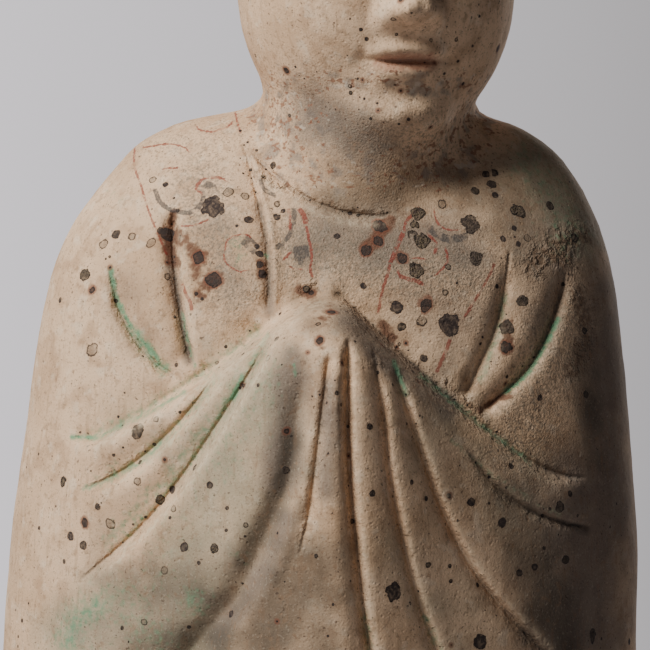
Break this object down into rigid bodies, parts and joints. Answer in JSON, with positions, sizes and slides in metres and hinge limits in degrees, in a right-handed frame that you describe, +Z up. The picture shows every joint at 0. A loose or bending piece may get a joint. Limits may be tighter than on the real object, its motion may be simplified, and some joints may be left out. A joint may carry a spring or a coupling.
{
  "type": "pottery courtier figure",
  "caption": "Standing painted-pottery courtier in a wide-sleeved robe, hands joined under hanging cloth, wearing a soft cap, on a low base.",
  "frame": {"origin": "middle of the base's flat underside", "axes": "+Z up, the figure faces -Y, and its own left hand is at +X"},
  "size_m": [0.2019, 0.1633, 0.6401],
  "materials": {
    "fired_clay": "unglazed earthenware under worn cream slip, with traces of red, green and grey paint"
  },
  "bodies": {
    "root": {"courtier": "fired_clay"}
  },
  "joints": []
}
